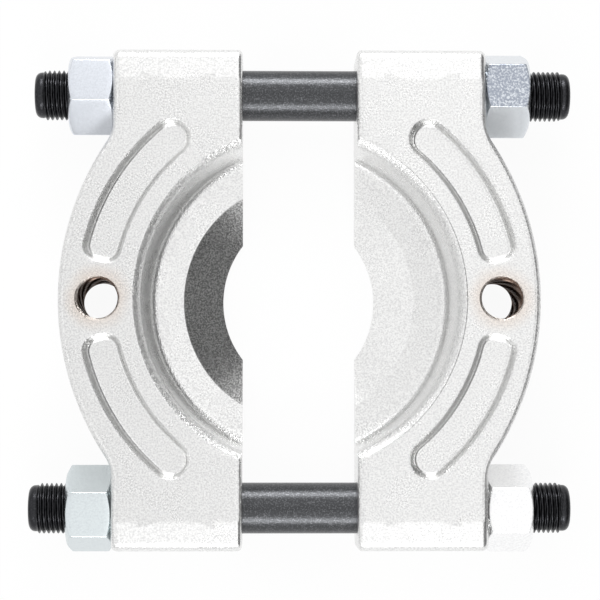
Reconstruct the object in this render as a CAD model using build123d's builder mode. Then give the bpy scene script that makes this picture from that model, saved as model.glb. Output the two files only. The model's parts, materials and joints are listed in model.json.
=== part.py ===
from build123d import *
from math import cos, radians, sin, sqrt, tan
import os

# Bearing separator: two forged jaws slide on two studs, and four nuts draw them together.
# Millimetres, +Z up. It lies on its flat side. The origin is on the floor, midway between
# the jaws and midway between the studs. +X runs along the studs.

# Studs: round bars with unthreaded tips
stud_diameter = 16.0
stud_length = 170.0
thread_chamfer = 0.7
tip_length = 2.5
tip_diameter = 14.5
tip_chamfer = 1.2
rear_stud_shift = 1.15
front_stud_shift = 0.1

# Nuts: hexagons chamfered on both faces
nut_across_flats = 24.0
nut_height = 14.5
nut_face_diameter = 22.5
nut_chamfer_angle = 30.0
nut_chamfer_overrun = 1.0
nut_bore_clearance = 0.09
nut_turning_room = 1.0

# How far one corner of each nut leans from straight up toward -Y, in degrees
rear_left_turn = 13.8
rear_right_turn = 21.5
front_left_turn = -22.1
front_right_turn = 31.5

# Jaws: overall form
jaw_thickness = 28.0
rest_gap = 36.0
bore_wall = 9.69
ear_wall = 4.5
ear_slope_width = 9.3
ear_slope_angle = 9.0
ear_edge_radius = 2.9
waist_fillet = 6.5
forging_draft = 2.0
outer_edge_chamfer = 1.7
inner_edge_chamfer = 1.0
stock = 8.0

# Jaws: the stepped seat, turned about one axis that lies beyond the inner face
bore_centre_beyond = 20.2
rim_radius = 51.5
rim_chamfer = 2.6
wall_draft = 6.7
cove_radius = 2.5
cove_sweep_angle = 73.5
cove_chords = 3
shelf_height = 9.0
shelf_width = 9.1
bevel_angle = 27.4

# Jaws: the open notch at the parting face
notch_radius = 30.2
notch_depth = 6.3

# Jaws: the ring around the seat, with two sunk pockets, and a flatter arc outside
inner_land = 8.1
pocket_width = 12.2
outer_land = 6.2
ring_centre_beyond_bore = 11.0
pocket_start_angle = 9.9
pocket_end_angle = 55.0
pocket_depth = 3.8
pocket_wall_angle = 20.0
pocket_corner_radius = 4.2
pocket_end_flat = 0.4

# Jaws: holes
puller_hole_beyond_rim = 13.7
puller_hole_diameter = 12.5
puller_hole_chamfer = 0.8
stud_bore_clearance = 0.5
seat_margin = 1.55
seat_depth = 0.55

# The nuts and studs
nut_corner_radius = nut_across_flats / sqrt(3)
chamfer_reach = nut_corner_radius + nut_chamfer_overrun
chamfer_height = (chamfer_reach - nut_face_diameter / 2) * tan(radians(nut_chamfer_angle))
corner_rise = (nut_corner_radius - nut_face_diameter / 2) * tan(radians(nut_chamfer_angle))
thread_end = stud_length / 2 - tip_length
stud_bore_radius = stud_diameter / 2 + stud_bore_clearance

# The left jaw: the seat and the ring stand about two axes beyond the inner face
half_thickness = jaw_thickness / 2
inner_face_x = -rest_gap / 2
bore_x = inner_face_x + bore_centre_beyond
ring_x = bore_x + ring_centre_beyond_bore
wall_top = jaw_thickness - rim_chamfer
wall_foot = shelf_height + cove_radius * sin(radians(cove_sweep_angle))
wall_foot_radius = rim_radius - (wall_top - wall_foot) * tan(radians(wall_draft))
bevel_radius = wall_foot_radius - cove_radius * (1 - cos(radians(cove_sweep_angle))) - shelf_width
pocket_inner_radius = rim_radius + inner_land
pocket_outer_radius = pocket_inner_radius + pocket_width
pocket_middle_angle = (pocket_start_angle + pocket_end_angle) / 2
ring_outer_radius = pocket_outer_radius + outer_land + ring_centre_beyond_bore

# The ears: each stud passes outside the seat, and its nut turns clear of the ring
stud_side = sqrt(rim_radius**2 - bore_centre_beyond**2) + bore_wall + stud_bore_radius
ear_side = stud_side + stud_bore_radius + ear_wall
ear_shoulder = jaw_thickness - ear_slope_width * tan(radians(ear_slope_angle))
nut_clear_side = stud_side - nut_corner_radius - nut_turning_room
nut_clear_x = ring_x - sqrt(ring_outer_radius**2 - nut_clear_side**2)
seat_x = nut_clear_x + corner_rise
ear_face_x = seat_x - seat_depth
waist_y = sqrt(ring_outer_radius**2 - (ring_x - ear_face_x) ** 2)


def cove_point(step):
    """Section point on the cove, counted from the foot of the wall down to the shelf."""
    turn = radians(cove_sweep_angle) * step / cove_chords
    return (wall_foot_radius - cove_radius * (1 - cos(turn)), wall_foot - cove_radius * sin(turn))


def seat_point(radius, angle):
    """Plan point at a radius from the seat's axis and an angle from the -X direction."""
    return (bore_x - radius * cos(radians(angle)), radius * sin(radians(angle)))


# Left jaw
with BuildPart() as jaw_left:
    # The plan outline at the parting line runs past the inner face and the ear sides
    with BuildSketch(Plane.XY.offset(half_thickness)) as outline:
        with BuildLine():
            Polyline(
                (ear_face_x, -waist_y),
                (ear_face_x, -ear_side - stock),
                (inner_face_x + stock, -ear_side - stock),
                (inner_face_x + stock, ear_side + stock),
                (ear_face_x, ear_side + stock),
                (ear_face_x, waist_y),
            )
            ThreePointArc(
                (ear_face_x, waist_y),
                (ring_x - ring_outer_radius, 0),
                (ear_face_x, -waist_y),
            )
        make_face()
        waist_corners = outline.vertices().group_by(Axis.Y)[1:-1]
        fillet([corner for group in waist_corners for corner in group], radius=waist_fillet)
    extrude(amount=half_thickness, taper=forging_draft)

    # One section across both ears slopes their tops toward the long edges and rounds those
    with BuildSketch(Plane.YZ.offset(inner_face_x)) as section:
        with BuildLine():
            Polyline(
                (-ear_side, 0),
                (ear_side, 0),
                (ear_side, ear_shoulder),
                (ear_side - ear_slope_width, jaw_thickness),
                (ear_slope_width - ear_side, jaw_thickness),
                (-ear_side, ear_shoulder),
                close=True,
            )
        make_face()
        fillet(section.vertices().group_by(Axis.Y)[1], radius=ear_edge_radius)
    extrude(amount=ring_outer_radius, both=True, mode=Mode.INTERSECT)
    split(bisect_by=Plane(origin=(inner_face_x, 0, 0), z_dir=(1, 0, 0)), keep=Keep.BOTTOM)

    # The outer walls' upper border is one chain from the parting line over both ears
    outer_walls = jaw_left.faces().filter_by(lambda face: face.normal_at().X < -0.5)
    wall_edges = outer_walls.edges()
    wall_borders = wall_edges.filter_by(
        lambda edge: wall_edges.count(edge) == 1 and edge.center().Z > half_thickness
    )
    chamfer(wall_borders, length=outer_edge_chamfer)
    mirror(about=Plane.XY.offset(half_thickness))
    chamfer(jaw_left.faces().sort_by(Axis.X)[-1].edges(), length=inner_edge_chamfer)

    # The stepped seat: a rim, a steep wall, a cove in short chords, a flat shelf and a bevel
    with BuildSketch(Plane(origin=(bore_x, 0, 0), x_dir=(-1, 0, 0), z_dir=(0, 1, 0))):
        with BuildLine():
            Polyline(
                *(cove_point(step) for step in range(cove_chords + 1)),
                (bevel_radius, shelf_height),
                (0, shelf_height - bevel_radius * tan(radians(bevel_angle))),
                (0, jaw_thickness + stock),
                (rim_radius + rim_chamfer, jaw_thickness + stock),
                (rim_radius + rim_chamfer, jaw_thickness),
                (rim_radius, wall_top),
                close=True,
            )
        make_face()
    revolve(axis=Axis((bore_x, 0, 0), (0, 0, 1)), mode=Mode.SUBTRACT)

    # The open notch
    with BuildSketch():
        with Locations((inner_face_x - notch_depth + notch_radius, 0)):
            Circle(notch_radius)
    extrude(amount=jaw_thickness, mode=Mode.SUBTRACT)

    # Two sunk pockets, square toward the puller hole and round toward the ears
    with BuildSketch(Plane.XY.offset(jaw_thickness)) as pocket:
        with BuildLine():
            Line(
                seat_point(pocket_inner_radius, pocket_start_angle),
                seat_point(pocket_outer_radius, pocket_start_angle),
            )
            ThreePointArc(
                seat_point(pocket_outer_radius, pocket_start_angle),
                seat_point(pocket_outer_radius, pocket_middle_angle),
                seat_point(pocket_outer_radius, pocket_end_angle),
            )
            Line(
                seat_point(pocket_outer_radius, pocket_end_angle),
                seat_point(pocket_inner_radius, pocket_end_angle),
            )
            ThreePointArc(
                seat_point(pocket_inner_radius, pocket_end_angle),
                seat_point(pocket_inner_radius, pocket_middle_angle),
                seat_point(pocket_inner_radius, pocket_start_angle),
            )
        make_face()
        fillet(pocket.vertices().sort_by(Axis.Y)[:2], radius=pocket_corner_radius)
        fillet(pocket.vertices().sort_by(Axis.Y)[-2:], radius=(pocket_width - pocket_end_flat) / 2)
        mirror(about=Plane.XZ)
    extrude(amount=-pocket_depth, mode=Mode.SUBTRACT)
    pocket_walls = jaw_left.faces(Select.LAST).filter_by(lambda face: abs(face.normal_at().Z) < 0.5)
    draft(pocket_walls, Plane.XY.offset(jaw_thickness), pocket_wall_angle)

    # The threaded hole for a puller bolt, a little open at both mouths
    with Locations((bore_x - rim_radius - puller_hole_beyond_rim, 0, jaw_thickness)):
        Hole(radius=puller_hole_diameter / 2, depth=jaw_thickness)
    mouths = jaw_left.edges(Select.LAST).filter_by(GeomType.CIRCLE)
    chamfer(mouths, length=puller_hole_chamfer)

    # A clearance bore for each stud and a flat seat for each nut
    with BuildSketch(Plane.YZ.offset(inner_face_x)):
        with Locations((stud_side, half_thickness), (-stud_side, half_thickness)):
            Circle(stud_bore_radius)
    extrude(amount=ear_face_x - inner_face_x - stock, mode=Mode.SUBTRACT)
    with BuildSketch(Plane.YZ.offset(seat_x)):
        with Locations((stud_side, half_thickness), (-stud_side, half_thickness)):
            Circle(nut_face_diameter / 2 + seat_margin)
    extrude(amount=-stock, mode=Mode.SUBTRACT)
jaw_left.part.label = "jaw_left"

# Right jaw
with BuildPart() as jaw_right:
    mirror(jaw_left.part, about=Plane.YZ)
jaw_right.part.label = "jaw_right"

os.makedirs("parts", exist_ok=True)
export_step(jaw_left.part, "parts/jaw_left.step")
export_step(jaw_right.part, "parts/jaw_right.step")

# Studs
for name, side, shift in (("stud_rear", 1, rear_stud_shift), ("stud_front", -1, front_stud_shift)):
    middle = (shift, side * stud_side, half_thickness)
    with BuildPart() as stud:
        with BuildSketch(Plane(origin=middle, x_dir=(1, 0, 0), z_dir=(0, -1, 0))) as half:
            with BuildLine():
                Polyline(
                    (0, 0),
                    (stud_length / 2, 0),
                    (stud_length / 2, tip_diameter / 2),
                    (thread_end, tip_diameter / 2),
                    (thread_end - thread_chamfer, stud_diameter / 2),
                    (0, stud_diameter / 2),
                    close=True,
                )
            make_face()
            chamfer(half.vertices().group_by(Axis.X)[-1].sort_by(Axis.Y)[-1], length=tip_chamfer)
        revolve(axis=Axis(middle, (1, 0, 0)))
        mirror(about=Plane(origin=middle, z_dir=(1, 0, 0)))
    stud.part.label = name
    export_step(stud.part, f"parts/{name}.step")

# Nuts
for name, end, side, turn in (
    ("nut_rear_left", -1, 1, -rear_left_turn),
    ("nut_rear_right", 1, 1, rear_right_turn),
    ("nut_front_left", -1, -1, -front_left_turn),
    ("nut_front_right", 1, -1, front_right_turn),
):
    seat_centre = (end * abs(seat_x), side * stud_side, half_thickness)
    outward = Plane(origin=seat_centre, x_dir=(0, 0, 1), z_dir=(end, 0, 0))
    with BuildPart() as nut:
        with BuildSketch(outward):
            RegularPolygon(
                radius=nut_across_flats / 2, side_count=6, major_radius=False, rotation=turn
            )
        extrude(amount=nut_height)
        with BuildSketch(Plane(origin=seat_centre, x_dir=(0, 0, 1), z_dir=(0, end, 0))):
            with BuildLine():
                Polyline(
                    (0, 0),
                    (nut_face_diameter / 2, 0),
                    (chamfer_reach, chamfer_height),
                    (chamfer_reach, nut_height - chamfer_height),
                    (nut_face_diameter / 2, nut_height),
                    (0, nut_height),
                    close=True,
                )
            make_face()
        revolve(axis=Axis(seat_centre, (1, 0, 0)), mode=Mode.INTERSECT)
        with Locations(outward.offset(nut_height)):
            Hole(radius=stud_diameter / 2 + nut_bore_clearance, depth=nut_height)
    nut.part.label = name
    export_step(nut.part, f"parts/{name}.step")
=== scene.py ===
"""Looks of a bearing separator: two forged jaws on two threaded studs, drawn together by nuts."""

import json
from functools import partial

import bmesh
import bpy
import numpy as np
from bpy.props import FloatProperty, FloatVectorProperty, PointerProperty
from mathutils import Matrix, Vector


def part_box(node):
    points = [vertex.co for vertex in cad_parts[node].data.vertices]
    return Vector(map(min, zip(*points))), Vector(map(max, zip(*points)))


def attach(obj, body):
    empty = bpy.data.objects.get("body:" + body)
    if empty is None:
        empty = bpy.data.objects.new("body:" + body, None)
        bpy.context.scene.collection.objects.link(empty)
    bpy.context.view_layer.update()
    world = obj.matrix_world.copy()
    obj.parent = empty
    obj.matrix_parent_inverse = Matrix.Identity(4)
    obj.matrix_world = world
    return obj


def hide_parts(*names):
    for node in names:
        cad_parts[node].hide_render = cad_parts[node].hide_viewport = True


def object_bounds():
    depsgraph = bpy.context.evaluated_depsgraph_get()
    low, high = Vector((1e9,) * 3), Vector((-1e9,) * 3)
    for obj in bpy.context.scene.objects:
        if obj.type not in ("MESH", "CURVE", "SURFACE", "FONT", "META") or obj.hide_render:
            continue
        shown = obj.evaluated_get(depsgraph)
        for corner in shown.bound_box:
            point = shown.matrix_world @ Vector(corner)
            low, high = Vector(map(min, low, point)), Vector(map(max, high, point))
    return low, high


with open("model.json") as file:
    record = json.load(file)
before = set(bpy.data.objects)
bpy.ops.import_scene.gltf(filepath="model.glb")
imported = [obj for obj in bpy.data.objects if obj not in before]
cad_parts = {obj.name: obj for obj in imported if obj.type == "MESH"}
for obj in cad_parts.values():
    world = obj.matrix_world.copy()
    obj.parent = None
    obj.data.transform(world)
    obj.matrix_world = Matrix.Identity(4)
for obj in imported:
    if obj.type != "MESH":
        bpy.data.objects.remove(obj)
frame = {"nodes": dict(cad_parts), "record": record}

bl_info = {
    "name": "Bearing separator",
    "version": (1, 0, 0),
    "blender": (4, 5, 0),
    "location": "View3D > Sidebar > Separator",
    "description": "Forged jaws, black studs and zinc nuts, and a studio",
    "category": "Object",
}

MM = 0.001
TURN = 2 * np.pi
SIDES = ("rear", "front")
ENDS = {"left": -1, "right": 1}
CAD_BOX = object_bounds()
JAW_LOW, JAW_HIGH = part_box("jaw_left")
STUD_LOW, STUD_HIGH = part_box("stud_rear")
STUD_SIDE = (STUD_LOW.y + STUD_HIGH.y) / 2
STUD_RADIUS = (STUD_HIGH.z - STUD_LOW.z) / 2
MID_HEIGHT = (STUD_LOW.z + STUD_HIGH.z) / 2
NUT_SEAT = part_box("nut_rear_left")[1].x

# How finely the turned forms are drawn: places round each, and rows to each pitch of a thread.
COLUMNS = {"seat": 400, "notch": 300, "stud_bore": 96, "puller_thread": 80, "stud": 72}
ROWS_A_PITCH = 10


def linear(hex_colour):
    """Linear RGBA of an sRGB hex colour.

    A channel c becomes c / 12.92 up to 0.04045, and ((c + 0.055) / 1.055) to the 2.4 above it.
    """
    channels = np.array([int(hex_colour[i:i + 2], 16) for i in (1, 3, 5)]) / 255
    curved = ((channels + 0.055) / 1.055) ** 2.4
    return (*np.where(channels > 0.04045, curved, channels / 12.92), 1.0)


def length(name, description, millimetres):
    """A length that a user may change, kept in metres."""
    return FloatProperty(
        name=name, description=description, default=millimetres * MM, unit="LENGTH", precision=5
    )


def angle(name, description, degrees):
    """An angle that a user may change, kept in radians."""
    return FloatProperty(
        name=name, description=description, default=np.radians(degrees), unit="ROTATION"
    )


def colour(name, description, hex_colour):
    """A colour that a user may change, kept as linear RGBA."""
    return FloatVectorProperty(
        name=name, description=description, default=linear(hex_colour), size=4, subtype="COLOR"
    )


def amount(name, description, value):
    """A plain number that a user may change."""
    return FloatProperty(name=name, description=description, default=value, subtype="FACTOR")


class JawSizes(bpy.types.PropertyGroup):
    """Sizes of the left jaw, whose mirror image is the right one."""

    ring_radius: length("Ring radius", "Outside of the ring at the parting line", 89.0)
    ring_beyond: length("Ring centre", "How far the ring's centre lies beyond the inner face", 31.2)
    ear_reach: length("Ear reach", "From the inner face to the ear's outer face", 41.0)
    ear_slope_width: length("Ear slope width", "Width of the slope along the ear's long edges", 9.3)
    ear_slope: angle("Ear slope", "How steeply the ear's top falls toward its long edge", 9.0)
    ear_edge: length("Ear edge", "Round of the ear's long edges", 3.0)
    waist_fillet: length("Waist fillet", "Hollow between the ring and the ear", 6.5)
    draft: angle("Draft", "Slope of the forged outer walls", 2.0)
    outer_round: length("Outer round", "Round along the outer walls' edges", 2.0)
    inner_round: length("Inner round", "Round along the inner face's edges", 1.5)
    bore_beyond: length("Seat centre", "How far the seat's axis lies beyond the inner face", 20.2)
    rim_radius: length("Rim radius", "Top of the seat's wall", 51.8)
    rim_round: length("Rim round", "Worn round at the top of the seat's wall", 4.5)
    wall_draft: angle("Wall draft", "Slope of the seat's wall", 6.7)
    cove_radius: length("Cove radius", "Hollow between the wall and the shelf", 2.5)
    shelf_height: length("Shelf height", "Foot of the shelf over the floor", 9.3)
    shelf_fall: angle("Shelf fall", "How the shelf falls toward the middle", 4.0)
    bevel_radius: length("Bevel radius", "Where the shelf drops away", 39.0)
    bevel_angle: angle("Bevel angle", "Slope of the wedge that goes under a bearing", 27.4)
    notch_radius: length("Notch radius", "The open notch at the parting face", 30.2)
    notch_depth: length("Notch depth", "How deep the notch is cut", 6.3)
    pocket_inner: length("Pocket inner radius", "Inner side of the sunk pockets", 59.6)
    pocket_outer: length("Pocket outer radius", "Outer side of the sunk pockets", 71.8)
    pocket_start: angle("Pocket start", "End of a pocket near the puller hole", 9.9)
    pocket_end: angle("Pocket end", "End of a pocket near the ear", 55.0)
    pocket_depth: length("Pocket depth", "How deep the pockets are sunk", 3.8)
    pocket_wall: angle("Pocket wall", "Slope of the pockets' walls", 20.0)
    pocket_corner: length("Pocket corner", "Corners of a pocket near the puller hole", 5.0)
    pocket_rim: length("Pocket rim", "Round at the top of a pocket's wall", 1.0)
    pocket_foot: length("Pocket foot", "Hollow at the foot of a pocket's wall", 1.3)
    puller_pitch: length("Puller pitch", "Pitch of the thread in the puller hole", 1.5)
    puller_depth: length("Puller thread depth", "Depth of that thread", 0.75)
    puller_mouth: length("Puller mouth", "Chamfer at both mouths of the puller hole", 0.8)
    bore_clearance: length("Bore clearance", "Room around a stud in the ear", 0.5)
    bore_mouth: length("Bore mouth", "Chamfer at the mouths of the stud bores", 0.4)
    spot_face: length("Spot face", "Diameter of the flat under a nut", 25.6)


class StudSizes(bpy.types.PropertyGroup):
    """Sizes of a stud's threaded ends."""

    pitch: length("Pitch", "Pitch of the right-hand thread", 1.5)
    depth: length("Thread depth", "From crest to root", 0.92)
    crest_drop: length("Crest drop", "How much the rolled crests stay under the shank", 0.08)
    threaded: length("Threaded length", "Length of the thread from the end", 47.0)
    run_out: length("Run-out", "Length over which the thread fades into the shank", 2.0)
    tip: length("Tip length", "The plain end of the stud", 2.5)
    tip_diameter: length("Tip diameter", "Diameter of the plain end", 14.5)
    tip_round: length("Tip round", "Round of the plain end", 1.9)
    lead_in: length("Lead-in", "Chamfer between the tip and the thread", 0.7)


class NutSizes(bpy.types.PropertyGroup):
    """Sizes of a nut besides its height and hexagon, which the frame gives."""

    face_diameter: length("Face diameter", "Ring of contact inside the chamfer", 22.5)
    chamfer: angle("Chamfer", "Slope of the chamfered corners", 30.0)
    corner_round: length("Corner round", "Round of the six upright edges", 0.55)
    edge_round: length("Edge round", "Round between the chamfer and the flats", 0.3)
    countersink: length("Countersink", "Width of the countersink round the thread", 1.0)
    clearance: length("Thread clearance", "Radial room on the stud's thread", 0.1)


class Finishes(bpy.types.PropertyGroup):
    """Colours of the finishes. Each nut has its own zinc colour: partly its passivation's tint, and
    partly painted light and shade for how each nut was lit.
    """

    forging: colour("Forging", "Plated and shot-blasted steel", "#F7F7F6")
    forging_dark: colour("Forging grain", "The darker pits of the blasted surface", "#DCDCDC")
    warm_stain: colour("Warm stain", "Discoloured plating around the puller holes", "#F5E4D6")
    hole_wall: colour("Hole wall", "Oiled cut thread in the puller holes", "#6B5A50")
    oxide: colour("Black oxide", "Studs", "#4B4C4E")
    oxide_thread: colour("Oiled thread", "The darker threads of the studs", "#2C2C2F")
    oxide_light: colour("Black oxide speckle", "Lighter specks on the studs", "#76777A")
    # Lit and shaded copies of one zinc: the front right nut is painted nearly white as a painted
    # highlight, and the others keep the passivation's faint blue and teal tints.
    zinc_rear_left: colour("Rear left zinc", "Blue-white passivated zinc", "#E2E6ED")
    zinc_rear_right: colour("Rear right zinc", "Blue-white passivated zinc", "#E6EAEE")
    zinc_front_left: colour("Front left zinc", "Slightly teal zinc", "#DBE2E4")
    zinc_front_right: colour("Front right zinc", "Nearly white zinc", "#FEFEFE")
    # Also the colour of the painted shade on the rear right nut's uppermost flat, besides the
    # passivation's mottling.
    zinc_mottle_and_shade: colour("Zinc stain", "Blue and violet mottling of the passivation", "#9298A3")
    floor: colour("Floor", "White table", "#F7F7F7")


class StudioSettings(bpy.types.PropertyGroup):
    """Where the camera stands and how bright the studio is."""

    camera_x: length("Camera X", "Left or right of the middle", -11.9)
    camera_y: length("Camera Y", "In front of or behind the middle", -39.3)
    camera_z: length("Camera height", "Over the floor", 651.0)
    aim_y: length("Aim Y", "Where the camera looks on the top plane, behind the middle", -0.63)
    lens: amount("Lens", "Focal length in millimetres on a 36 mm sensor", 120.5)
    rear_box: amount("Rear box", "Power of the soft box behind, in watts", 2.7)
    front_box: amount("Front box", "Power of the soft box in front, in watts", 2.0)
    low_room: amount("Low room", "Strength of the room at the horizon, as a share", 0.7)
    side_gain: amount("Side gain", "How much brighter the room is in front and behind", 0.42)


def corner_arc(before, corner, after, radius, steps):
    """Round one corner of a profile: an arc of the radius that touches both straight runs.

    The arc's centre lies on the corner's bisector, radius / sin(half angle) away.
    """
    before, corner, after = (np.asarray(point, float) for point in (before, corner, after))
    to_before = (before - corner) / np.linalg.norm(before - corner)
    to_after = (after - corner) / np.linalg.norm(after - corner)
    half = np.arccos(np.clip(to_before @ to_after, -1, 1)) / 2
    bisector = to_before + to_after
    centre = corner + bisector / np.linalg.norm(bisector) * radius / np.sin(half)
    first = corner + to_before * radius / np.tan(half) - centre
    last = corner + to_after * radius / np.tan(half) - centre
    start = np.arctan2(first[1], first[0])
    sweep = (np.arctan2(last[1], last[0]) - start + np.pi) % TURN - np.pi
    turns = start + sweep * np.linspace(0, 1, steps)
    return centre + radius * np.stack([np.cos(turns), np.sin(turns)], axis=-1)


def rounded_profile(corners, steps=7):
    """A profile through corners of (across, along, radius), where a radius of 0 stays sharp."""
    places = [corner[:2] for corner in corners]
    return np.vstack([
        corner_arc(*places[number - 1:number + 2], radius, steps) if radius else [places[number]]
        for number, (_, _, radius) in enumerate(corners)
    ])


def closed_surface(name, points, ring_of_rows=False):
    """A closed mesh on a grid of points [row, column]: columns join up all round.

    The rows join up too for a ring, and otherwise a flat face closes the first and the last row.
    Faces are turned outwards if the enclosed volume comes out negative.
    """
    rows, columns = points.shape[:2]
    index = np.arange(rows * columns).reshape(rows, columns)
    around = np.vstack([index, index[:1]]) if ring_of_rows else index
    around = np.hstack([around, around[:, :1]])
    quads = [around[:-1, :-1], around[:-1, 1:], around[1:, 1:], around[1:, :-1]]
    quads = np.stack(quads, axis=-1).reshape(-1, 4)
    caps = [] if ring_of_rows else [index[0, ::-1], index[-1]]
    loops = np.concatenate([quads.ravel(), *caps])
    sizes = np.concatenate([np.full(len(quads), 4), [len(cap) for cap in caps]]).astype(int)
    mesh = bpy.data.meshes.new(name)
    mesh.vertices.add(rows * columns)
    mesh.vertices.foreach_set("co", points.reshape(-1).astype(np.float32))
    mesh.loops.add(len(loops))
    mesh.loops.foreach_set("vertex_index", loops.astype(np.int32))
    mesh.polygons.add(len(sizes))
    mesh.polygons.foreach_set("loop_start", (np.cumsum(sizes) - sizes).astype(np.int32))
    mesh.update(calc_edges=True)
    turn_outwards(mesh)
    made = bpy.data.objects.new(name, mesh)
    bpy.context.scene.collection.objects.link(made)
    return made


def turn_outwards(mesh):
    """Flip all faces of a closed mesh whose signed volume is negative."""
    shell = bmesh.new()
    shell.from_mesh(mesh)
    inside_out = shell.calc_volume(signed=True) < 0
    shell.free()
    if inside_out:
        mesh.flip_normals()


def cut(piece, cutters):
    """Take each cutter's volume away from the piece, one by one, and delete the cutters."""
    for cutter in cutters:
        boolean = piece.modifiers.new("cut", "BOOLEAN")
        boolean.operation = "DIFFERENCE"
        boolean.solver = "EXACT"
        boolean.object = cutter
    solid = piece.evaluated_get(bpy.context.evaluated_depsgraph_get())
    result = bpy.data.meshes.new_from_object(solid)
    if not result.polygons:
        raise RuntimeError(f"cutting {piece.name} left nothing")
    piece.modifiers.clear()
    piece.data = result
    for cutter in cutters:
        bpy.data.objects.remove(cutter)


def finish_piece(piece, body, nodes, material, crease):
    """Give a piece its shading, material, body and material slot, and hide the CAD nodes that it
    stands in for.
    """
    piece.data.shade_smooth()
    piece.data.set_sharp_from_angle(angle=np.radians(crease))
    normals = piece.modifiers.new("flat faces stay flat", "WEIGHTED_NORMAL")
    normals.keep_sharp = True
    piece.data.materials.clear()
    piece.data.materials.append(material)
    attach(piece, body)
    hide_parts(*nodes)


def thread_groove(phase):
    """Depth of a rolled thread, from 0 on the crest to 1 in the root, along a phase of one a turn.

    It is a 60 degree wave, whose crest is an eighth and whose root is a quarter of the pitch wide.
    To soften it, a smooth step from 0 to 1 is mixed in.
    """
    crest, root, softness = 0.125, 0.25, 0.35
    wave = 1 - np.abs(2 * (phase % 1) - 1)
    share = np.clip((wave - crest) / (1 - crest - root), 0, 1)
    return share * share * (3 - 2 * share) * softness + share * (1 - softness)


def lathe(name, profile, centre, axis):
    """A profile of (radius, along) turned about an upright axis, or about one that runs along X."""
    turns = np.linspace(0, TURN, COLUMNS[name], endpoint=False)
    radius = profile[:, :1]
    along = np.broadcast_to(profile[:, 1:2], (len(profile), len(turns)))
    wheel = [radius * np.cos(turns), radius * np.sin(turns)]
    points = [*wheel, along] if axis == "Z" else [along, *wheel]
    return closed_surface(name, np.stack(points, axis=-1) + centre)


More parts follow.
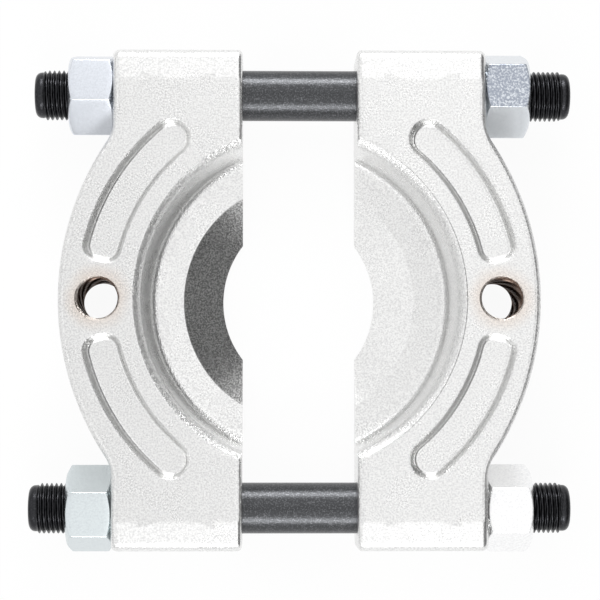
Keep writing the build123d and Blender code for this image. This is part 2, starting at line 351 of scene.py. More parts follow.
class Jaw:
    """Formulas of the left jaw, in metres. The right jaw is its mirror image.

    The blank's rays start on a spine, which is inset from the inner face and short of both ends.
    They reach the walls, and then fan over the edges. Cutters flare out above the top.
    """

    spine_inset = 20 * MM
    spine_short = 18.6 * MM
    fan_inset = 11.5 * MM
    flare = np.radians(17)
    outer_columns = 170
    end_columns = 180
    inner_columns = 24
    edge_rows = 31
    halvings = 34
    past = 6 * MM

    def __init__(self, sizes):
        self.sizes = sizes
        self.inner_x = JAW_HIGH.x
        self.thickness = JAW_HIGH.z - JAW_LOW.z
        self.half = self.thickness / 2
        self.ear_side = JAW_HIGH.y
        self.bore_x = self.inner_x + sizes.bore_beyond
        self.ring_x = self.inner_x + sizes.ring_beyond
        mounts = frame["record"]["mounts"]
        puller = next(mount for mount in mounts if mount["name"] == "puller_thread_left")
        self.puller_x = puller["pos_m"][0]
        self.puller_radius = puller["dims"]["r_mm"] * MM

    @staticmethod
    def both(first, second, radius):
        """Distance to what lies in both solids, with the edge rounded by a quarter circle."""
        corner = np.hypot(np.maximum(radius + first, 0), np.maximum(radius + second, 0))
        return np.minimum(-radius, np.maximum(first, second)) + corner

    @staticmethod
    def either(first, second, radius):
        """Distance to what lies in either solid, with the hollow filled by a quarter circle."""
        corner = np.hypot(np.maximum(radius - first, 0), np.maximum(radius - second, 0))
        return np.maximum(radius, np.minimum(first, second)) - corner

    def distance(self, points):
        """Signed distance to the uncut forging, negative inside.

        Across the ears it is a slab, |z|, whose top slopes down toward the upright sides, |y|. In
        plan it is the ring's disc or the ears' half-plane, drawn in by the draft above and below
        half the height. The inner face cuts it off.
        """
        sizes = self.sizes
        x, y, z = points[..., 0], points[..., 1], np.abs(points[..., 2] - self.half)
        beside = np.abs(y) - self.ear_side
        above = z - self.half
        fall = sizes.ear_slope
        slope = (beside + sizes.ear_slope_width) * np.sin(fall) + above * np.cos(fall)
        section = self.both(np.maximum(above, slope), beside, sizes.ear_edge)
        disc = np.hypot(x - self.ring_x, y) - sizes.ring_radius
        ears = self.inner_x - sizes.ear_reach - x
        lean = (self.ring_x - self.inner_x + sizes.ear_reach) / sizes.ring_radius
        plan = self.either(disc, ears, sizes.waist_fillet * (1 - lean)) + z * np.tan(sizes.draft)
        outer = self.both(section, plan, sizes.outer_round)
        return self.both(outer, x - self.inner_x, sizes.inner_round)

    def reach(self, origin, direction, far):
        """How far a ray runs from inside to the surface, found by halving the interval."""
        near = np.zeros(np.broadcast_shapes(origin.shape, direction.shape)[:-1])
        far = np.full_like(near, far)
        for _ in range(self.halvings):
            middle = (near + far) / 2
            inside = self.distance(origin + direction * middle[..., None]) < 0
            near = np.where(inside, middle, near)
            far = np.where(inside, far, middle)
        return (near + far) / 2

    def blank(self):
        """The uncut forging. Columns fan out all round a spine in plan, and rows over the edges.

        The rows crowd toward the edge: the distance to it goes with the 1.5th power of the row's
        number.
        """
        end = self.ear_side - self.spine_short
        fan = np.linspace(np.pi, 0, self.end_columns + 2)[1:-1]
        outer, inner = np.full(self.outer_columns, np.pi), np.zeros(self.inner_columns)
        bearing = np.concatenate([outer, fan, inner, -fan[::-1]])
        beside = np.concatenate([
            np.linspace(-end, end, self.outer_columns),
            np.full(self.end_columns, end),
            np.linspace(end, -end, self.inner_columns),
            np.full(self.end_columns, -end),
        ])
        spine_x = self.inner_x - self.spine_inset
        level = np.zeros_like(beside)
        spine = np.stack([level + spine_x, beside, level + self.half], axis=-1)
        outward = np.stack([np.cos(bearing), np.sin(bearing), level], axis=-1)
        beyond_all, beyond_edge = 80 * MM, 1.05
        wide = self.reach(spine, outward, beyond_all)
        hub = spine + outward * (wide - self.fan_inset)[:, None]
        steps = np.linspace(-1, 1, self.edge_rows)
        run = np.sign(steps) * np.abs(steps) ** 1.5 * self.fan_inset
        across = self.fan_inset + np.minimum(run, 0)
        up = self.half - np.maximum(run, 0)
        across = np.concatenate([across, across[::-1]])
        up = np.concatenate([up, -up[::-1]])
        upright = np.array([0.0, 0.0, 1.0])
        rays = across[:, None, None] * outward + up[:, None, None] * upright
        points = hub + rays * self.reach(hub, rays, beyond_edge)[..., None]
        return closed_surface("jaw_blank", points)

    def rim_sink(self, wall, rim_round):
        """How far a rim's corner lies under the top, so that its round ends level with the top."""
        turn = np.pi / 2 - wall - self.flare
        return rim_round * np.tan(turn / 2) * np.sin(self.flare)

    def seat(self):
        """The turned seat: bevel, shelf, cove, steep wall and a rim that flares through the top."""
        sizes = self.sizes
        rim_height = self.thickness - self.rim_sink(sizes.wall_draft, sizes.rim_round)
        foot = sizes.rim_radius - (rim_height - sizes.shelf_height) * np.tan(sizes.wall_draft)
        brink = sizes.shelf_height - (foot - sizes.bevel_radius) * np.tan(sizes.shelf_fall)
        hub = 2 * MM
        worn_brink = 0.5 * MM
        low = brink - (sizes.bevel_radius - hub) * np.tan(sizes.bevel_angle)
        top = rim_height + self.past * np.tan(self.flare)
        profile = rounded_profile([
            (hub, low, 0),
            (sizes.bevel_radius, brink, worn_brink),
            (foot, sizes.shelf_height, sizes.cove_radius),
            (sizes.rim_radius, rim_height, sizes.rim_round),
            (sizes.rim_radius + self.past, top, 0),
            (hub, top, 0),
        ], steps=11)
        return lathe("seat", profile, (self.bore_x, 0, 0), "Z")

    def notch(self):
        """The open notch: an upright cylinder through the whole height."""
        radius = self.sizes.notch_radius
        centre = self.inner_x - self.sizes.notch_depth + radius
        profile = np.array([[radius, -self.past], [radius, self.thickness + self.past]])
        return lathe("notch", profile, (centre, 0, 0), "Z")

    def pocket(self, side):
        """A sunk pocket at the rear, 1, or in front, -1.

        Its plan is five arcs that touch, each a centre plus a radius times its outward normal, and
        each row of the wall's profile moves the plan along those normals.
        """
        sizes = self.sizes
        width = sizes.pocket_outer - sizes.pocket_inner
        middle = (sizes.pocket_outer + sizes.pocket_inner) / 2
        corner = sizes.pocket_corner
        first = sizes.pocket_start + np.arcsin(corner / middle)
        last = sizes.pocket_end - width / 2 / middle

        def ray(turn):
            """Direction from the seat's axis at a turn from -X toward +Y, as a complex number."""
            return -np.exp(-1j * turn)

        per_sector, per_quarter, per_half_turn = 70, 11, 25
        sector = np.linspace(first, last, per_sector)
        quarter = np.exp(-1j * np.linspace(0, np.pi / 2, per_quarter))
        half_turn = np.exp(-1j * np.linspace(0, np.pi, per_half_turn))
        arcs = [
            (0, sizes.pocket_outer, ray(sector)),
            (middle * ray(last), width / 2, ray(last) * half_turn),
            (0, -sizes.pocket_inner, -ray(sector[::-1])),
            ((sizes.pocket_inner + corner) * ray(first), corner, -ray(first) * quarter),
            ((sizes.pocket_outer - corner) * ray(first), corner, 1j * ray(first) * quarter),
        ]
        plan = np.concatenate([hub + radius * normal[:-1] for hub, radius, normal in arcs])
        normals = np.concatenate([normal[:-1] for _, _, normal in arcs])
        rim_sink = self.rim_sink(sizes.pocket_wall, sizes.pocket_rim)
        floor = self.thickness - sizes.pocket_depth
        foot = -sizes.pocket_depth * np.tan(sizes.pocket_wall)
        rim = -rim_sink * np.tan(sizes.pocket_wall)
        floor_margin, flare_out = 2.5 * MM, 3 * MM
        profile = rounded_profile([
            (foot - floor_margin, floor, 0),
            (foot, floor, sizes.pocket_foot),
            (rim, self.thickness - rim_sink, sizes.pocket_rim),
            (flare_out, self.thickness - rim_sink + flare_out * np.tan(self.flare), 0),
        ])
        place = self.bore_x + plan + profile[:, :1] * normals
        height = np.broadcast_to(profile[:, 1:2], place.shape)
        return closed_surface("pocket", np.stack([place.real, side * place.imag, height], axis=-1))

    def stud_bore(self, side):
        """A clearance bore along X with a spot face for the nut and chamfers at its mouths."""
        sizes = self.sizes
        radius = STUD_RADIUS + sizes.bore_clearance
        mouth = sizes.bore_mouth
        profile = np.array([
            [radius + mouth + self.past, self.inner_x + self.past],
            [radius, self.inner_x - mouth],
            [radius, NUT_SEAT + mouth],
            [radius + mouth, NUT_SEAT],
            [sizes.spot_face / 2, NUT_SEAT],
            [sizes.spot_face / 2, NUT_SEAT - self.past],
        ])
        return lathe("stud_bore", profile, (0, side * STUD_SIDE, MID_HEIGHT), "X")

    def puller_thread(self, end):
        """The puller hole. Its radius is the larger of its thread's and its 45 degree mouths'."""
        sizes = self.sizes
        past = 1.2 * MM
        rows = int(self.thickness / sizes.puller_pitch * ROWS_A_PITCH)
        height = np.linspace(-past, self.thickness + past, rows)[:, None]
        turns = np.linspace(0, TURN, COLUMNS["puller_thread"], endpoint=False)
        groove = thread_groove(height / sizes.puller_pitch - turns / TURN + 0.5)
        thread = self.puller_radius + sizes.puller_depth * groove
        mouth = self.puller_radius + sizes.puller_mouth + np.abs(height - self.half) - self.half
        radius = np.maximum(thread, mouth)
        x = -end * self.puller_x + radius * np.cos(turns)
        points = [x, radius * np.sin(turns), np.broadcast_to(height, x.shape)]
        return closed_surface("puller_thread", np.stack(points, axis=-1))

    def make(self, name, end):
        """The finished forging at the left end, -1, or its mirror image at the right end, 1."""
        piece = self.blank()
        pairs = [form(side) for form in (self.pocket, self.stud_bore) for side in (1, -1)]
        cut(piece, [self.seat(), self.notch(), *pairs])
        if end > 0:
            piece.data.transform(Matrix.Diagonal((-1, 1, 1, 1)))
            piece.data.flip_normals()
        cut(piece, [self.puller_thread(end)])
        piece.name = piece.data.name = name
        return piece


def stud_surface(name, sizes, box):
    """A stud: a lathe form about X whose radius is the profile's less the thread's groove.

    The groove's phase is x / pitch - turn / 2 pi, so the thread is right-handed at both ends.
    """
    hub, lead_rows, shank_rows = 0.4 * MM, 7, 12
    low, high = box
    middle = (low + high) / 2
    radius = (high.z - low.z) / 2
    half = (high.x - low.x) / 2
    crest = radius - sizes.crest_drop
    tip_radius = sizes.tip_diameter / 2
    tip = rounded_profile([
        (hub, half, 0),
        (tip_radius, half, sizes.tip_round),
        (tip_radius, half - sizes.tip, 0),
        (crest, half - sizes.tip - sizes.lead_in, 0),
    ])
    thread_end = half - sizes.threaded
    rows = int((tip[-1, 1] - thread_end) / sizes.pitch * ROWS_A_PITCH)
    threaded = np.linspace(tip[-1, 1], thread_end, rows)[1:]
    lead = np.linspace(tip[-2, 1], tip[-1, 1], lead_rows)[1:]
    plain = np.linspace(thread_end, 0, shank_rows)[1:]
    along = np.concatenate([tip[:-1, 1], lead, threaded, plain])
    base = np.interp(-along, -tip[:, 1], tip[:, 0], right=crest)
    base[:len(tip) - 1] = tip[:-1, 0]
    shank = np.clip((thread_end + sizes.run_out - along) / sizes.run_out, 0, 1)
    base = base + (radius - crest) * shank
    cut_in = np.clip((half - sizes.tip - along) / sizes.lead_in, 0, 1) * (1 - shank)
    along = np.concatenate([along, -along[-2::-1]])[:, None]
    base = np.concatenate([base, base[-2::-1]])[:, None]
    cut_in = np.concatenate([cut_in, cut_in[-2::-1]])[:, None]
    turns = np.linspace(0, TURN, COLUMNS["stud"], endpoint=False)
    phase = (middle.x + along) / sizes.pitch - turns / TURN
    bore = np.maximum(crest - sizes.depth * thread_groove(phase), 0)
    around = np.where(cut_in > 0, np.minimum(base, base + (bore - crest) * cut_in), base)
    points = [
        np.broadcast_to(middle.x + along, around.shape),
        middle.y + around * np.cos(turns),
        middle.z + around * np.sin(turns),
    ]
    return closed_surface(name, np.stack(points, axis=-1))


def hexagon_plan(across_flats, corner_round, lean):
    """A hexagon with round corners, as complex places round its axis, with one corner at the lean.

    Each corner is an arc: its centre plus the round times a normal.
    """
    per_corner = 5
    per_flat = 7
    centre_radius = (across_flats / 2 - corner_round) / np.cos(np.pi / 6)
    spread = np.linspace(-np.pi / 6, np.pi / 6, per_corner)
    corners = lean + np.arange(6)[:, None] * np.pi / 3
    arcs = centre_radius * np.exp(1j * corners) + corner_round * np.exp(1j * (corners + spread))
    following = np.roll(arcs[:, 0], -1)
    share = np.linspace(0, 1, per_flat + 2)[1:-1]
    flats = arcs[:, -1:] + (following - arcs[:, -1])[:, None] * share
    return np.concatenate([arcs, flats], axis=1).ravel()


def nut_surface(name, sizes, studs, node):
    """A nut, with its uppermost flat's plane as a normal and a distance from the origin.

    Its rows run from the mouth of the bore over a face, the chamfer and the flat, and back through
    the thread, whose crests stop short so that the stud's plain tip passes. The chamfer is a cone,
    so it meets the flats at a height of (distance from the axis - face radius) x tan(chamfer),
    which makes the arcs on each flat.
    """
    low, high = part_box(node)
    height = high.x - low.x
    centre_y = STUD_SIDE * np.sign(low.y)
    mesh = frame["nodes"][node].data
    places = np.empty(len(mesh.vertices) * 3)
    mesh.vertices.foreach_get("co", places)
    spokes = places[1::3] - centre_y + 1j * (places[2::3] - MID_HEIGHT)
    farthest = spokes[np.argmax(np.abs(spokes))]
    lean = np.angle(farthest)
    across_flats = abs(farthest) * 2 * np.cos(np.pi / 6)
    plan = hexagon_plan(across_flats, sizes.corner_round, lean)
    away = np.abs(plan)
    ray = plan / away
    face = sizes.face_diameter / 2
    slope = np.array([[np.cos(sizes.chamfer)], [np.sin(sizes.chamfer)]])
    edge = np.stack([away, (away - face) * np.tan(sizes.chamfer)])
    inner = edge - slope * sizes.edge_round
    outer = edge + np.array([[0.0], [1.0]]) * sizes.edge_round
    crest = STUD_RADIUS - studs.crest_drop + sizes.clearance
    tip_room = 0.06 * MM
    width = sizes.countersink
    sink = 0.6 * width
    worn_width, worn_rise = 0.25 * MM, 0.05 * MM
    flat_rows, bore_rows = 5, 96
    rows = [
        (crest, sink),
        (crest + 0.5 * width, 0.12 * width),
        (crest + 0.62 * width, 0.0),
        (face - worn_width, 0.0),
        (face, worn_rise),
        inner,
        (inner + 2 * edge + outer) / 4,
        outer,
        *((away, row) for row in np.linspace(outer[1], height / 2, flat_rows)[1:]),
    ]
    radius, along = (np.array([row[part] + 0 * away for row in rows]) for part in (0, 1))
    inside = np.linspace(height - sink, sink, bore_rows)[1:-1, None]
    groove = thread_groove((low.x + inside) / studs.pitch - np.angle(ray) / TURN)
    fade = np.clip((np.minimum(inside, height - inside) - sink) / width, 0, 1)
    bore = np.maximum(crest - studs.depth * groove * fade, studs.tip_diameter / 2 + tip_room)
    radius = np.vstack([radius, radius[-2::-1], bore])
    along = np.vstack([along, height - along[-2::-1], np.broadcast_to(inside, bore.shape)])
    points = [low.x + along, centre_y + radius * ray.real, MID_HEIGHT + radius * ray.imag]
    flats = lean + np.pi / 6 + np.arange(6) * np.pi / 3
    upmost = np.exp(1j * flats[np.argmax(np.sin(flats))])
    distance = across_flats / 2 + centre_y * upmost.real + MID_HEIGHT * upmost.imag
    nut = closed_surface(name, np.stack(points, axis=-1), ring_of_rows=True)
    return nut, ((0.0, upmost.real, upmost.imag), distance)


def add_node(tree, kind, inputs=None, stops=(), **settings):
    """Add a shader node with its settings, and fill each input with a value or with a link.

    A node given as an input stands for its first output in use. Stops are a ramp's greys, each a
    (position, level).
    """
    made = tree.nodes.new(f"ShaderNode{kind}")
    for key, value in settings.items():
        setattr(made, key, value)
    for key, value in (inputs or {}).items():
        if isinstance(value, bpy.types.Node):
            value = next(socket for socket in value.outputs if socket.enabled)
        if isinstance(value, bpy.types.NodeSocket):
            tree.links.new(value, made.inputs[key])
        else:
            made.inputs[key].default_value = value
    for number, (position, level) in enumerate(stops):
        elements = made.color_ramp.elements
        stop = elements.new(position) if number > 1 else elements[number]
        stop.position = position
        stop.color = (level, level, level, 1.0)
    return made


def new_material(name):
    """A material, the function that adds a node to its tree, and its object coordinates."""
    material = bpy.data.materials.new(name)
    material.use_nodes = True
    material.node_tree.nodes.clear()
    add = partial(add_node, material.node_tree)
    return material, add, add("TexCoord").outputs["Object"]


def forging_material(finishes, jaw):
    """Drop-forged steel, shot-blasted and satin plated.

    Blasting leaves pits about 0.5 mm wide, which scatter the light into a fine sparkle. The plating
    is pale and even, with slow cloudy changes. The edges under the top face are torn by the
    trimming and battered by the blasting, so they glint in specks. The left jaw's bevel, which
    faces the dark side of the room, gets painted shade: dark specks of salt and pepper in its
    colour.
    Around the puller holes the cutting oil has left a warm stain, and the walls of the holes are
    brown.
    """
    material, add, place = new_material("shot_blasted_plated_forging")
    hole = jaw.puller_radius
    mouth = jaw.half - jaw.sizes.puller_mouth
    bevel = jaw.sizes.bevel_radius
    rim = jaw.sizes.rim_radius
    cove = rim - 2.2 * MM
    top = jaw.thickness
    # How high the sparkle and the tears stand, where the pits have 1.
    sparkle_height, tear_height = 3.0, 7.0
    # Width in millimetres, detail and roughness of the pits, the sparkle, the clouds and the tears.
    pits, sparkle, clouds, tears = (
        add("TexNoise", {
            "Vector": place, "Scale": 1 / (width * MM), "Detail": detail, "Roughness": roughness,
        })
        for width, detail, roughness in (
            (0.55, 2.0, 0.6), (0.5, 1.0, 0.5), (14.0, 3.0, 0.55), (0.75, 3.0, 0.65),
        )
    )
    parts = add("SeparateXYZ", {"Vector": place}).outputs
    mirrored = add("Math", {0: parts["X"]}, operation="ABSOLUTE")
    # Distances in plan from the puller hole's axis and from the seat's.
    from_hole, from_seat = (
        add("VectorMath", {
            0: add("CombineXYZ", {
                "X": add("Math", {0: mirrored, 1: shift}, operation="ADD"),
                "Y": parts["Y"],
            }),
        }, operation="LENGTH")
        for shift in (-abs(jaw.puller_x), jaw.bore_x)
    )

    # Colour: pale plating with darker pits, a warm stain and brown walls at the puller holes.
    grain = add("MapRange", {"Value": pits, "From Min": 0.36, "From Max": 0.6})
    surface = add("Mix", {
        0: grain, 6: finishes.forging_dark, 7: finishes.forging,
    }, data_type="RGBA")
    ragged = add("Math", {0: clouds, 1: 4 * MM, 2: from_hole}, operation="MULTIPLY_ADD")
    stained = add("MapRange", {
        "Value": ragged, "From Min": hole + 1.5 * MM, "From Max": hole + 8 * MM,
        "To Min": 0.6, "To Max": 0.0,
    }, interpolation_type="SMOOTHSTEP")
    warm = add("Mix", {
        0: stained, 6: surface, 7: finishes.warm_stain,
    }, data_type="RGBA", blend_type="MULTIPLY")
    near_hole = add("Math", {0: from_hole, 1: hole + 1.2 * MM}, operation="LESS_THAN")
    level = add("Math", {0: parts["Z"], 1: jaw.half}, operation="SUBTRACT")
    # Given from high to low, a range falls from 1 to 0.
    between = add("MapRange", {
        "Value": add("Math", {0: level}, operation="ABSOLUTE"),
        "From Min": mouth, "From Max": mouth - 0.3 * MM,
    })
    in_hole = add("Math", {0: near_hole, 1: between}, operation="MULTIPLY")
    tinted = add("Mix", {0: in_hole, 6: warm, 7: finishes.hole_wall}, data_type="RGBA")

    # Painted shade on the left jaw's bevel: its colour is darkened in specks, to as little as half,
    # as salt and pepper, because that bevel faces the dark side of the room.
    left = add("Math", {0: parts["X"], 1: 0.0}, operation="LESS_THAN")
    sloping = add("Math", {0: from_seat, 1: bevel - 0.3 * MM}, operation="LESS_THAN")
    left_bevel_painted_shade = add("Math", {0: left, 1: sloping}, operation="MULTIPLY")
    specks = add("MapRange", {
        "Value": sparkle, "From Min": 0.43, "From Max": 0.57, "To Min": 0.5,
    })
    specks = add("Mix", {0: left_bevel_painted_shade, 2: 1.0, 3: specks})
    # The colour with the left bevel's painted shade in it.
    speckled = add("VectorMath", {0: tinted, "Scale": specks}, operation="SCALE")

    # Height: the pits outside the seat, and inside it the sparkle, by its coarseness on each part.
    in_seat = add("MapRange", {
        "Value": from_seat, "From Min": rim - 0.5 * MM, "From Max": rim - 1.5 * MM,
    })
    coarse = (
        (0.0, 0.4), (bevel - 0.5 * MM, 0.4), (bevel, 0.2), (cove - 2.5 * MM, 0.2),
        (cove - 1.8 * MM, 1.0), (cove + 0.3 * MM, 1.0), (cove + 1.0 * MM, 0.5),
    )
    ramp_scale = 10.0
    along = add("Math", {0: from_seat, 1: ramp_scale}, operation="MULTIPLY")
    coarseness = add("ValToRGB", {"Fac": along}, [
        (distance * ramp_scale, share) for distance, share in coarse
    ])
    shallow = sparkle
    for factor in (sparkle_height, coarseness):
        shallow = add("Math", {0: shallow, 1: factor}, operation="MULTIPLY")
    height = add("Mix", {0: in_seat, 2: pits, 3: shallow})

    # The torn edges: just under the top face and off the ears.
    near_top = add("MapRange", {
        "Value": parts["Z"], "From Min": top - 2.8 * MM, "From Max": top - 1.8 * MM,
    })
    under_top = add("MapRange", {
        "Value": parts["Z"], "From Min": top - 0.02 * MM, "From Max": top - 0.12 * MM,
    })
    beside = add("Math", {0: parts["Y"]}, operation="ABSOLUTE")
    off_ears = add("MapRange", {
        "Value": beside, "From Min": jaw.ear_side - 9 * MM, "From Max": jaw.ear_side - 11 * MM,
    })
    torn = near_top
    for factor in (under_top, off_ears, tears):
        torn = add("Math", {0: torn, 1: factor}, operation="MULTIPLY")
    height = add("Math", {0: torn, 1: tear_height, 2: height}, operation="MULTIPLY_ADD")
    bump = add("Bump", {"Height": height, "Strength": 0.45, "Distance": 0.12 * MM})
    rough = add("MapRange", {
        "Value": clouds, "From Min": 0.3, "From Max": 0.7, "To Min": 0.25, "To Max": 0.31,
    })
    shader = add("BsdfPrincipled", {
        "Base Color": speckled, "Metallic": 1.0, "Roughness": rough, "Normal": bump,
    })
    add("OutputMaterial", {"Surface": shader})
    return material


def oxide_material(finishes, studs):
    """Black-oxidised steel bar, lightly oiled.

    The oxide is a dark grey skin with fine specks about 0.5 mm wide that catch the light. The
    rolled threads hold more of the oil and are darker.
    """
    material, add, place = new_material("black_oxide_steel")
    specks = add("TexNoise", {
        "Vector": place, "Scale": 1 / (0.5 * MM), "Detail": 2.0, "Roughness": 0.65,
    })
    light = add("MapRange", {"Value": specks, "From Min": 0.5, "From Max": 0.72})
    skin = add("Mix", {0: light, 6: finishes.oxide, 7: finishes.oxide_light}, data_type="RGBA")
    parts = add("SeparateXYZ", {"Vector": place}).outputs
    from_middle = add("Math", {0: parts["X"]}, operation="ABSOLUTE")
    thread_start = (STUD_HIGH.x - STUD_LOW.x) / 2 - studs.threaded
    threaded = add("MapRange", {
        "Value": from_middle, "From Min": thread_start, "From Max": thread_start + 3 * MM,
        "To Max": 0.75,
    })
    oiled = add("Mix", {0: threaded, 6: skin, 7: finishes.oxide_thread}, data_type="RGBA")
    bump = add("Bump", {"Height": specks, "Strength": 0.6, "Distance": 0.1 * MM})
    shader = add("BsdfPrincipled", {
        "Base Color": oiled, "Metallic": 1.0, "Roughness": 0.32, "Normal": bump,
    })
    add("OutputMaterial", {"Surface": shader})
    return material


def zinc_material(name, skin_colour, mottle_and_shade_colour, flat=None):
    """Zinc plate with a blue-white passivation.

    The plating is bright and cold, and the passivation shows as faint violet and blue mottling,
    broken up by grain. One flat of the rear right nut, given as its normal and its plane's distance
    from the origin, is painted darker and bluer, with specks: partly the passivation's blue, partly
    painted shade.
    """
    material, add, place = new_material(f"blue_white_zinc_plate_{name}")
    # Width in millimetres, detail and roughness of the mottling and of the grain.
    mottle, grain = (
        add("TexNoise", {
            "Vector": place, "Scale": 1 / (width * MM), "Detail": detail, "Roughness": roughness,
        })
        for width, detail, roughness in ((0.7, 2.0, 0.7), (0.5, 2.0, 0.6))
    )
    share = add("MapRange", {"Value": mottle, "From Min": 0.4, "From Max": 0.7, "To Max": 0.15})
    # Painted shade on that one flat: darker and bluer, with specks, partly the passivation's blue.
    if flat:
        normal, distance = flat
        along = add("VectorMath", {0: place, 1: normal}, operation="DOT_PRODUCT")
        flat_shade_mask = add("MapRange", {
            "Value": along, "From Min": distance - 0.3 * MM, "From Max": distance - 0.1 * MM,
        })
        speckled = add("MapRange", {
            "Value": mottle, "From Min": 0.38, "From Max": 0.56, "To Min": 0.4, "To Max": 1.1,
        })
        share = add("Mix", {0: flat_shade_mask, 2: share, 3: speckled})
    skin = add("Mix", {0: share, 6: skin_colour, 7: mottle_and_shade_colour}, data_type="RGBA")
    bump = add("Bump", {"Height": grain, "Strength": 0.25, "Distance": 0.05 * MM})
    shader = add("BsdfPrincipled", {
        "Base Color": skin, "Metallic": 1.0, "Roughness": 0.24, "Normal": bump,
    })
    add("OutputMaterial", {"Surface": shader})
    return material


def floor_material(finishes):
    """A matt white table, which the camera and the metals see glow as white paper does.

    Its glow takes 94 % there, and the rest is the paper's own light and the object's faint shadow.
    """
    material, add, _ = new_material("matt_white_table")
    glow_share = 0.94
    paper = add("BsdfDiffuse", {"Color": finishes.floor})
    glow = add("Emission")
    rays = add("LightPath").outputs
    seen = add("Math", {0: rays["Is Camera Ray"], 1: rays["Is Glossy Ray"]}, operation="MAXIMUM")
    share = add("Math", {0: seen, 1: glow_share}, operation="MULTIPLY")
    mixed = add("MixShader", {0: share, 1: paper, 2: glow})
    add("OutputMaterial", {"Surface": mixed})
    return material


ROOM_ACROSS = (
    (-1.0, 0.65), (-0.8, 1.13), (-0.45, 0.9), (-0.1, 0.75), (0.1, 1.12), (0.34, 1.06),
    (0.45, 0.5), (0.54, 0.11), (0.7, 0.1), (0.86, 0.22), (0.94, 0.28), (1.0, 0.65),
)
ROOM_BESIDE = ((0.0, 0.0), (0.2, 0.0), (0.33, 1.0), (0.45, 1.0), (0.55, 0.0))


def light_room(studio):
    """A white room for the camera, which the object sees as a studio.

    It is bright at the left and overhead, a little dimmer round the camera, and dark low at the
    right, by the stops of ROOM_ACROSS: (direction's X, strength). Two bands in front and behind are
    brighter near the middle, by the stops of ROOM_BESIDE: (direction's |Y|, share of the gain).
    """
    world = bpy.data.worlds.new("studio_room")
    bpy.context.scene.world = world
    world.use_nodes = True
    world.node_tree.nodes.clear()
    add = partial(add_node, world.node_tree)
    direction = add("TexCoord").outputs["Generated"]
    parts = add("SeparateXYZ", {"Vector": direction}).outputs
    place = add("Math", {0: parts["X"], 1: 0.5, 2: 0.5}, operation="MULTIPLY_ADD")
    across = add("ValToRGB", {"Fac": place}, [((x + 1) / 2, level) for x, level in ROOM_ACROSS])
    aside, behind = (add("Math", {0: parts[axis]}, operation="ABSOLUTE") for axis in "XY")
    share = add("MapRange", {
        "Value": aside, "From Min": 0.22, "From Max": 0.42,
        "To Min": studio.side_gain, "To Max": 0.0,
    })
    bands = add("ValToRGB", {"Fac": behind}, ROOM_BESIDE)
    gain = add("Math", {0: bands, 1: share, 2: 1.0}, operation="MULTIPLY_ADD")
    low = add("MapRange", {
        "Value": parts["Z"], "From Max": 0.6, "To Min": studio.low_room,
    }, interpolation_type="SMOOTHSTEP")
    sides = add("Math", {0: gain, 1: low}, operation="MULTIPLY")
    level = add("Math", {0: across, 1: sides}, operation="MULTIPLY")
    seen = add("LightPath").outputs["Is Camera Ray"]
    strength = add("Mix", {0: seen, 2: level, 3: 1.0})
    back = add("Background", {"Color": (1.0, 1.0, 1.0, 1.0), "Strength": strength})
    add("OutputWorld", {"Surface": back})


def add_soft_box(name, place, size, watts):
    """A rectangular soft box that faces the middle of the object."""
    lamp = bpy.data.lights.new(name, "AREA")
    lamp.shape = "RECTANGLE"
    lamp.size, lamp.size_y = size
    lamp.energy = watts
    made = bpy.data.objects.new(name, lamp)
    made.location = place
    toward = Vector((0, 0, MID_HEIGHT)) - Vector(place)
    made.rotation_euler = toward.to_track_quat("-Z", "Y").to_euler()
    bpy.context.scene.collection.objects.link(made)


class SEPARATOR_OT_jaws(bpy.types.Operator):
    """Make the two forged jaws"""

    bl_idname = "separator.jaws"
    bl_label = "Forged jaws"

    def execute(self, context):
        jaw = Jaw(context.scene.separator_jaw)
        material = forging_material(context.scene.separator_finishes, jaw)
        for name, end in ENDS.items():
            node = f"jaw_{name}"
            piece = jaw.make(f"{node}_forging", end)
            finish_piece(piece, node, [node], material, crease=32)
        return {"FINISHED"}


class SEPARATOR_OT_studs(bpy.types.Operator):
    """Make the two threaded studs"""

    bl_idname = "separator.studs"
    bl_label = "Threaded studs"

    def execute(self, context):
        studs = context.scene.separator_stud
        material = oxide_material(context.scene.separator_finishes, studs)
        for name in SIDES:
            node = f"stud_{name}"
            piece = stud_surface(f"{node}_threaded", studs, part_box(node))
            finish_piece(piece, "studs", [node], material, crease=40)
        return {"FINISHED"}


class SEPARATOR_OT_nuts(bpy.types.Operator):
    """Make the four hexagon nuts"""

    bl_idname = "separator.nuts"
    bl_label = "Hexagon nuts"

    def execute(self, context):
        finishes = context.scene.separator_finishes
        nuts = context.scene.separator_nut
        studs = context.scene.separator_stud
        for side in SIDES:
            for end in ENDS:
                node = f"nut_{side}_{end}"
                # Each nut's colour is partly its passivation's tint and partly painted light and
                # shade.
                skin = getattr(finishes, f"zinc_{side}_{end}")
                piece, flat = nut_surface(f"{node}_zinc", nuts, studs, node)
                # The rear right nut's uppermost flat gets painted shade, darker and bluer, with the
                # passivation's blue.
                stained = flat if node == "nut_rear_right" else None
                material = zinc_material(f"{side}_{end}", skin, finishes.zinc_mottle_and_shade, stained)
                finish_piece(piece, node, [node], material, crease=28)
        return {"FINISHED"}


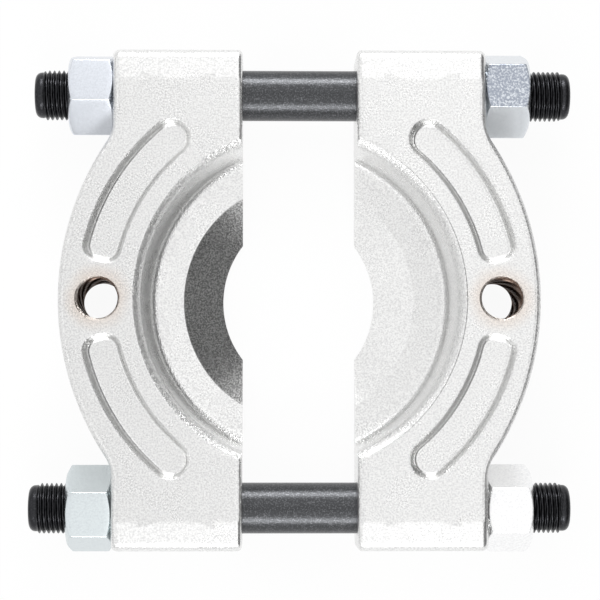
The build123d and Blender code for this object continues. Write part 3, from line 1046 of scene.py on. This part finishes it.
class SEPARATOR_OT_stage(bpy.types.Operator):
    """Set up the floor, the lights and the camera"""

    bl_idname = "separator.stage"
    bl_label = "Floor, lights and camera"

    def execute(self, context):
        scene = context.scene
        studio = scene.separator_studio
        reach = 3.0
        low, high = CAD_BOX
        mesh = bpy.data.meshes.new("floor")
        signs = ((-1, -1), (1, -1), (1, 1), (-1, 1))
        corners = [(x * reach, y * reach, low.z) for x, y in signs]
        mesh.from_pydata(corners, [], [(0, 1, 2, 3)])
        mesh.materials.append(floor_material(scene.separator_finishes))
        floor = bpy.data.objects.new("floor", mesh)
        scene.collection.objects.link(floor)
        light_room(studio)
        box_size = (0.42, 0.16)
        add_soft_box("rear_box", (0.0, 0.75, 0.36), box_size, studio.rear_box)
        add_soft_box("front_box", (0.0, -0.73, 0.44), box_size, studio.front_box)
        camera = bpy.data.objects.new("camera", bpy.data.cameras.new("camera"))
        camera.data.lens = studio.lens
        camera.data.sensor_width = 36.0
        camera.location = (studio.camera_x, studio.camera_y, studio.camera_z)
        aim = Vector((0, studio.aim_y, high.z))
        back = (camera.location - aim).normalized()
        right = Vector((0, 1, 0)).cross(back).normalized()
        camera.rotation_euler = Matrix((right, back.cross(right), back)).transposed().to_euler()
        scene.collection.objects.link(camera)
        scene.camera = camera
        scene.view_settings.view_transform = "Standard"
        return {"FINISHED"}


class SEPARATOR_PT_panel(bpy.types.Panel):
    """Lists the pieces of the separator and their sizes"""

    bl_idname = "SEPARATOR_PT_panel"
    bl_label = "Bearing separator"
    bl_space_type = "VIEW_3D"
    bl_region_type = "UI"
    bl_category = "Separator"

    def draw(self, context):
        for operator, groups in PANEL_ROWS:
            box = self.layout.box()
            box.operator(operator)
            for group in groups:
                settings = getattr(context.scene, group)
                for name in settings.__annotations__:
                    box.prop(settings, name)


PANEL_ROWS = (
    ("separator.jaws", ("separator_jaw", "separator_finishes")),
    ("separator.studs", ("separator_stud",)),
    ("separator.nuts", ("separator_nut",)),
    ("separator.stage", ("separator_studio",)),
)
GROUPS = {
    "separator_jaw": JawSizes,
    "separator_stud": StudSizes,
    "separator_nut": NutSizes,
    "separator_finishes": Finishes,
    "separator_studio": StudioSettings,
}
CLASSES = (
    *GROUPS.values(),
    SEPARATOR_OT_jaws,
    SEPARATOR_OT_studs,
    SEPARATOR_OT_nuts,
    SEPARATOR_OT_stage,
    SEPARATOR_PT_panel,
)


def register():
    """Register the classes and hang the settings on the scene."""
    for kind in CLASSES:
        bpy.utils.register_class(kind)
    for name, group in GROUPS.items():
        setattr(bpy.types.Scene, name, PointerProperty(type=group))


def unregister():
    """Take the settings and the classes away again."""
    for name in GROUPS:
        delattr(bpy.types.Scene, name)
    for kind in reversed(CLASSES):
        bpy.utils.unregister_class(kind)


def main():
    """Build every piece and the stage."""
    register()
    bpy.ops.separator.jaws()
    bpy.ops.separator.studs()
    bpy.ops.separator.nuts()
    bpy.ops.separator.stage()


if __name__ == "__main__":
    main()
